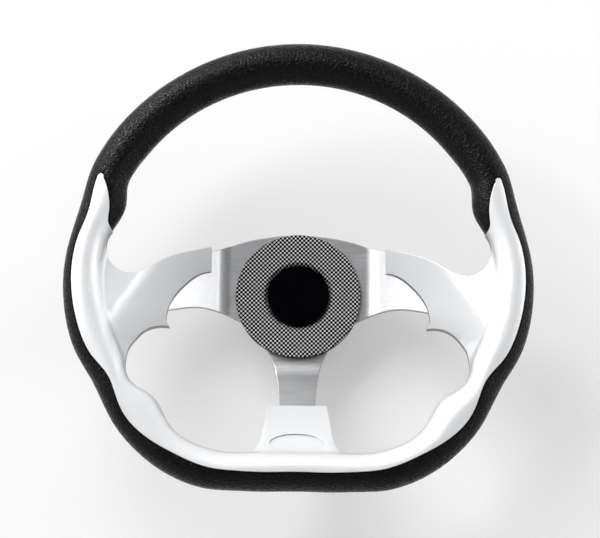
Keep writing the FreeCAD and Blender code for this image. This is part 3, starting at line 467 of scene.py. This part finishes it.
def turned_aluminium():
    """Cast aluminium, turned on its faces: rings of fine tool marks round the axis."""
    look = bpy.context.scene.wheel_colours
    material, tree, shader = start_material("turned cast aluminium", Metallic=1.0)
    place = object_pattern(tree)
    marks = add_node(tree, "ShaderNodeTexWave",
                     {"wave_type": "RINGS", "rings_direction": "Z", "Scale": 400.0,
                      "Distortion": 0.4, "Detail": 2.0}, {"Vector": place})
    gloss = add_node(tree, "ShaderNodeMapRange", {"To Min": 0.3, "To Max": 0.42},
                     {"Value": marks.outputs["Fac"]})
    shade = add_node(tree, "ShaderNodeMix",
                     {"data_type": "RGBA", 6: linear("#9fa0a2"), 7: look.cast_hub},
                     {0: marks.outputs["Fac"]})
    bump = add_node(tree, "ShaderNodeBump", {"Strength": 0.2, "Distance": 0.05 * MM},
                    {"Height": marks.outputs["Fac"]})
    tree.links.new(shade.outputs[2], shader.inputs["Base Color"])
    tree.links.new(gloss.outputs[0], shader.inputs["Roughness"])
    tree.links.new(bump.outputs[0], shader.inputs["Normal"])
    return material


def studio_sheet():
    """Pale paper sheet that keeps the wheel's soft shadow. To the camera a small part of it is
    plain white, which holds its far corner as light as the near one."""
    look = bpy.context.scene.wheel_colours
    material, tree, shader = start_material("pale paper sheet", Roughness=0.9, Specular_IOR_Level=0.1)
    shader.inputs["Base Color"].default_value = look.floor
    white = add_node(tree, "ShaderNodeEmission", {"Color": linear("#ffffff"), "Strength": 1.0})
    path = add_node(tree, "ShaderNodeLightPath")
    share = add_node(tree, "ShaderNodeMath", {"operation": "MULTIPLY", 1: FLOOR_WHITE},
                     {0: path.outputs["Is Camera Ray"]})
    sheet = add_node(tree, "ShaderNodeMixShader",
                     links={0: share.outputs[0], 1: shader.outputs[0], 2: white.outputs[0]})
    tree.links.new(sheet.outputs[0], tree.nodes["Material Output"].inputs["Surface"])
    return material


# Pieces, one operator for each group


class WHEEL_OT_grip(bpy.types.Operator):
    """Covers the rim with its grained black grip"""
    bl_idname = "wheel.grip"
    bl_label = "Grip"

    def execute(self, context):
        smooth_moulding("grip", "grip_moulding", grip_skin(), "grip_foam", 40)
        return {"FINISHED"}


class WHEEL_OT_bezel(bpy.types.Operator):
    """Adds the silver bezel with its smooth front"""
    bl_idname = "wheel.bezel"
    bl_label = "Bezel"

    def execute(self, context):
        smooth_moulding("front_bezel", "bezel_moulding", silver_lacquer(), "silver_paint", 30)
        return {"FINISHED"}


class WHEEL_OT_spokes(bpy.types.Operator):
    """Adds the brushed spoke plate"""
    bl_idname = "wheel.spokes"
    bl_label = "Spokes"

    def execute(self, context):
        smooth_moulding("spoke_plate", "spoke_sheet", brushed_aluminium(), "brushed_plate",
                        rounding=PLATE_ROUNDING)
        return {"FINISHED"}


class WHEEL_OT_hub(bpy.types.Operator):
    """Adds the printed ring and the cap in the wheel's middle"""
    bl_idname = "wheel.hub"
    bl_label = "Hub"

    def execute(self, context):
        smooth_moulding("hub_cover", "hub_ring", printed_checks(), "printed_ring")
        smooth_moulding("centre_cap", "hub_cap", cap_gloss(), "cap_plastic")
        smooth_moulding("hub_body", "hub_casting", turned_aluminium(), "cast_hub")
        return {"FINISHED"}


class WHEEL_OT_rear(bpy.types.Operator):
    """Adds the black shroud and the covers behind the spokes"""
    bl_idname = "wheel.rear"
    bl_label = "Rear mouldings"

    def execute(self, context):
        black = spark_moulding()
        for name in ("rear_shroud", "rear_cover_left", "rear_cover_right", "rear_cover_bottom"):
            smooth_moulding(name, name + "_moulding", black, "black_plastic")
        return {"FINISHED"}


class WHEEL_OT_steel(bpy.types.Operator):
    """Finishes the ring, the brackets and the fasteners, which keep their shape"""
    bl_idname = "wheel.steel"
    bl_label = "Steel parts"

    def execute(self, context):
        look = context.scene.wheel_colours
        coat = powder_coat()
        zinc = plated_steel("zinc plate on steel", look.zinc, "#9a9b9d", 0.34)
        black_zinc = plated_steel("black zinc on steel", look.black_zinc, "#121214", 0.48)
        for name in ("rim_core", "bracket_left", "bracket_right", "bracket_bottom"):
            assign(name, coat)
        for name in ("spoke_bolts", "spoke_nuts", "hub_screws"):
            assign(name, zinc)
        for name in ("cover_screws", "shroud_screws"):
            assign(name, black_zinc)
        return {"FINISHED"}


class WHEEL_OT_stage(bpy.types.Operator):
    """Sets the floor, the soft lamps, the pale surroundings and the camera"""
    bl_idname = "wheel.stage"
    bl_label = "Stage"

    def execute(self, context):
        scene = context.scene
        self.add_floor()
        self.add_world(scene)
        for lamp in LAMPS:
            self.add_lamp(*lamp)
        self.add_camera(scene)
        scene.view_settings.view_transform = "Standard"
        return {"FINISHED"}

    def add_floor(self):
        bm = bmesh.new()
        bmesh.ops.create_grid(bm, x_segments=1, y_segments=1, size=FLOOR_HALF_WIDTH)
        bmesh.ops.translate(bm, verts=bm.verts, vec=(0.0, 0.0, cad_box[0][2]))
        mesh = bpy.data.meshes.new("studio_floor")
        bm.to_mesh(mesh)
        bm.free()
        mesh.materials.append(studio_sheet())
        floor = bpy.data.objects.new("studio_floor", mesh)
        bpy.context.scene.collection.objects.link(floor)

    def add_world(self, scene):
        """Pale room that is brighter round the sides than overhead."""
        world = bpy.data.worlds.new("pale room")
        scene.world = world
        world.use_nodes = True
        tree = world.node_tree
        tree.nodes.clear()
        place = add_node(tree, "ShaderNodeTexCoord")
        split = add_node(tree, "ShaderNodeSeparateXYZ", links={0: place.outputs["Generated"]})
        shade = add_node(tree, "ShaderNodeValToRGB", links={0: split.outputs["Z"]})
        steps = shade.color_ramp.elements
        steps.new(0.5)
        for step, (height, colour) in zip(steps, ROOM):
            step.position = height
            step.color = linear(colour)
        room = add_node(tree, "ShaderNodeBackground", {"Strength": 1.0},
                        {"Color": shade.outputs["Color"]})
        backdrop = add_node(tree, "ShaderNodeBackground", {"Color": linear("#ffffff")})
        path = add_node(tree, "ShaderNodeLightPath")
        mix = add_node(tree, "ShaderNodeMixShader",
                       links={0: path.outputs["Is Camera Ray"], 1: room.outputs[0],
                              2: backdrop.outputs[0]})
        add_node(tree, "ShaderNodeOutputWorld", links={0: mix.outputs[0]})

    def add_lamp(self, name, place, size, power, only_shine):
        lamp = bpy.data.lights.new(name, "AREA")
        lamp.shape = "SQUARE"
        lamp.size = size
        lamp.energy = power
        body = bpy.data.objects.new(name, lamp)
        bpy.context.scene.collection.objects.link(body)
        body.location = place
        body.visible_diffuse = not only_shine
        aim = LAMP_TARGET - Vector(place)
        body.rotation_euler = aim.to_track_quat("-Z", "Y").to_euler()

    def add_camera(self, scene):
        sizes = scene.wheel_sizes
        low = sizes.camera_elevation
        roll = sizes.camera_roll
        back = Vector((0.0, -math.cos(low), math.sin(low)))
        level = Vector((1.0, 0.0, 0.0))
        rise = back.cross(level)
        right = level * math.cos(roll) + rise * math.sin(roll)
        up = rise * math.cos(roll) - level * math.sin(roll)
        turn = Matrix((right, up, back)).transposed()
        data = bpy.data.cameras.new("studio camera")
        data.sensor_width = CAMERA_SENSOR
        data.lens = CAMERA_LENS
        data.clip_end = CAMERA_REACH
        camera = bpy.data.objects.new("studio camera", data)
        scene.collection.objects.link(camera)
        place = CAMERA_TARGET + back * sizes.camera_distance
        camera.matrix_world = Matrix.Translation(place) @ turn.to_4x4()
        scene.camera = camera


class WHEEL_PT_panel(bpy.types.Panel):
    bl_label = "Steering wheel"
    bl_idname = "WHEEL_PT_panel"
    bl_space_type = "VIEW_3D"
    bl_region_type = "UI"
    bl_category = "Wheel"

    def draw(self, context):
        layout = self.layout
        for name in WheelColours.__annotations__:
            layout.prop(context.scene.wheel_colours, name)
        for name in WheelSizes.__annotations__:
            layout.prop(context.scene.wheel_sizes, name)
        for operator in OPERATORS:
            layout.operator(operator.bl_idname)


OPERATORS = (WHEEL_OT_grip, WHEEL_OT_bezel, WHEEL_OT_spokes, WHEEL_OT_hub, WHEEL_OT_rear,
             WHEEL_OT_steel, WHEEL_OT_stage)
CLASSES = (WheelColours, WheelSizes) + OPERATORS + (WHEEL_PT_panel,)


def register():
    for item in CLASSES:
        bpy.utils.register_class(item)
    bpy.types.Scene.wheel_colours = bpy.props.PointerProperty(type=WheelColours)
    bpy.types.Scene.wheel_sizes = bpy.props.PointerProperty(type=WheelSizes)


def unregister():
    del bpy.types.Scene.wheel_sizes
    del bpy.types.Scene.wheel_colours
    for item in reversed(CLASSES):
        bpy.utils.unregister_class(item)


def main():
    register()
    bpy.ops.wheel.grip()
    bpy.ops.wheel.bezel()
    bpy.ops.wheel.spokes()
    bpy.ops.wheel.hub()
    bpy.ops.wheel.rear()
    bpy.ops.wheel.steel()
    bpy.ops.wheel.stage()


if __name__ == "__main__":
    main()
